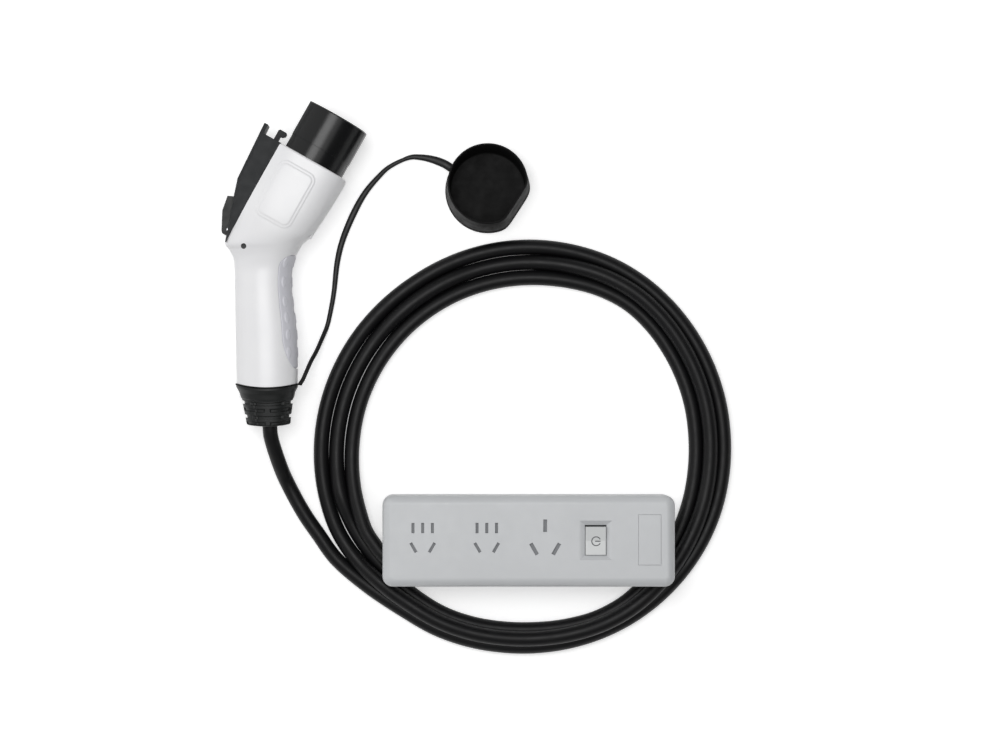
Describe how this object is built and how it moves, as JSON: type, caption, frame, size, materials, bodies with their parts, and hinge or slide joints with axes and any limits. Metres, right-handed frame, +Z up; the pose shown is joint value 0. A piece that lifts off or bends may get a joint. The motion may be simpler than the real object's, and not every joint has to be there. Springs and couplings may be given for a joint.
{
  "type": "charging adapter with socket strip",
  "caption": "Handheld charging plug with a latch, on a coiled lead that ends in a socket strip with a rocker, beside its tethered cap.",
  "frame": {"origin": "on the surface it lies on, under the middle of the box round the plug and the strip", "axes": "+Z up from the surface, +Y the way the handle points, +X along the strip from its lead to its blank plate"},
  "size_m": [0.4469, 0.4867, 0.0703],
  "materials": {
    "shell_white": "smooth white",
    "black_plastic": "fine grain black",
    "grip_grey": "soft grey",
    "black_rubber": "soft black",
    "cable_black": "satin black",
    "steel": "plain",
    "pin_silver": "plated",
    "strip_grey": "light grey",
    "rocker_grey": "light grey",
    "inner_plastic": "plain grey",
    "brass": "plain",
    "board_green": "circuit board",
    "core_brown": "plain brown"
  },
  "bodies": {
    "adapter": {"shell_near": "shell_white", "shell_far": "shell_white", "shell_screws": "steel", "grip_insert": "grip_grey", "nose": "black_plastic", "pin_line": "pin_silver", "pin_earth": "pin_silver", "pin_neutral": "pin_silver", "pin_control": "pin_silver", "pin_proximity": "pin_silver", "pin_retainer": "inner_plastic", "nose_seal": "black_rubber", "latch_cover": "black_plastic", "cover_screws": "steel", "lever_pin": "steel", "button_pin": "steel", "lever_spring": "steel", "release_switch": "black_plastic", "sensing_board": "board_green", "boot": "black_rubber", "cable_clamp": "inner_plastic", "plug_cores": "core_brown", "tether_ring": "black_rubber", "tether": "black_rubber", "cap": "black_rubber", "cable_lead": "cable_black", "cable_coil": "cable_black", "cable_tail": "cable_black", "strip_cover": "strip_grey", "strip_base": "strip_grey", "strip_screws": "steel", "strip_grommet": "black_rubber", "cord_clamp": "inner_plastic", "switch_body": "black_plastic", "blank_plate": "strip_grey", "live_bar": "brass", "neutral_bar": "brass", "earth_bar": "brass", "strip_cores": "core_brown"},
    "latch_lever": {"latch_lever": "black_plastic"},
    "thumb_button": {"thumb_button": "black_plastic"},
    "rocker": {"rocker": "rocker_grey"},
    "shutter_1": {"shutter_1": "strip_grey"},
    "shutter_2": {"shutter_2": "strip_grey"},
    "shutter_3": {"shutter_3": "strip_grey"}
  },
  "joints": [
    {"name": "button_press", "type": "hinge", "parent": "adapter", "child": "thumb_button", "pos_m": [-0.19034, 0.09918, 0.035], "axis": [0, 0, -1], "range_deg": [0, 8], "stiffness_Nm_per_rad": 0.5, "springref_deg": -17.19},
    {"name": "hook_lift", "type": "hinge", "parent": "adapter", "child": "latch_lever", "pos_m": [-0.17178, 0.13809, 0.035], "axis": [0, 0, 1], "range_deg": [0, 7.5], "deforming": ["lever_spring"]},
    {"name": "rocker_tip", "type": "hinge", "parent": "adapter", "child": "rocker", "pos_m": [0.12765, -0.1699, 0.057], "axis": [-1, 0, 0], "range_deg": [0, 10]},
    {"name": "shutter_1_slide", "type": "slide", "parent": "adapter", "child": "shutter_1", "axis": [-1, 0, 0], "range_m": [0, 0.0042], "stiffness_N_per_m": 100, "springref_m": -0.004},
    {"name": "shutter_2_slide", "type": "slide", "parent": "adapter", "child": "shutter_2", "axis": [-1, 0, 0], "range_m": [0, 0.0042], "stiffness_N_per_m": 100, "springref_m": -0.004},
    {"name": "shutter_3_slide", "type": "slide", "parent": "adapter", "child": "shutter_3", "axis": [-1, 0, 0], "range_m": [0, 0.0042], "stiffness_N_per_m": 100, "springref_m": -0.004}
  ],
  "couplings": [
    {"joint": "hook_lift", "follows": "button_press", "ratio": 0.92}
  ]
}
